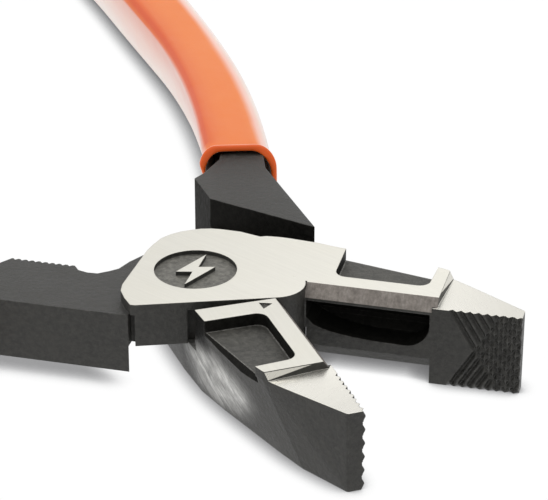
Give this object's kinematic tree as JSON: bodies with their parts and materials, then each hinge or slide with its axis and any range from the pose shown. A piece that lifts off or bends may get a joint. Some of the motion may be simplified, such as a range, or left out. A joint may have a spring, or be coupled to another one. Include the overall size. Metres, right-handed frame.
{
  "type": "lineman pliers",
  "caption": "Side-cutting lineman pliers with two lapped forged halves on a hidden pivot, knurled gripping tips, side cutters and dipped orange grips, shown open",
  "frame": {"origin": "on the pivot axis, at the level of the flat bottom faces the pliers rest on", "axes": "+Z is the pivot axis and up, +X bisects the open jaws and points out of them, +Y is the side of the upper half's jaw"},
  "size_m": [0.205, 0.233, 0.0159],
  "materials": {
    "black_steel": "black oxide over forged grain",
    "ground_steel": "fine ground satin",
    "rivet_steel": "peened and ground flush",
    "orange_vinyl": "glossy dipped vinyl"
  },
  "bodies": {
    "upper": {"upper_half": "black_steel", "pivot_rivet": "rivet_steel", "upper_half_grip": "orange_vinyl"},
    "lower": {"lower_half": "black_steel", "lower_half_grip": "orange_vinyl"}
  },
  "joints": [
    {"name": "jaw_pivot", "type": "hinge", "parent": "upper", "child": "lower", "pos_m": [0, 0, 0.004], "axis": [0, 0, 1], "range_deg": [-6, 56]}
  ]
}
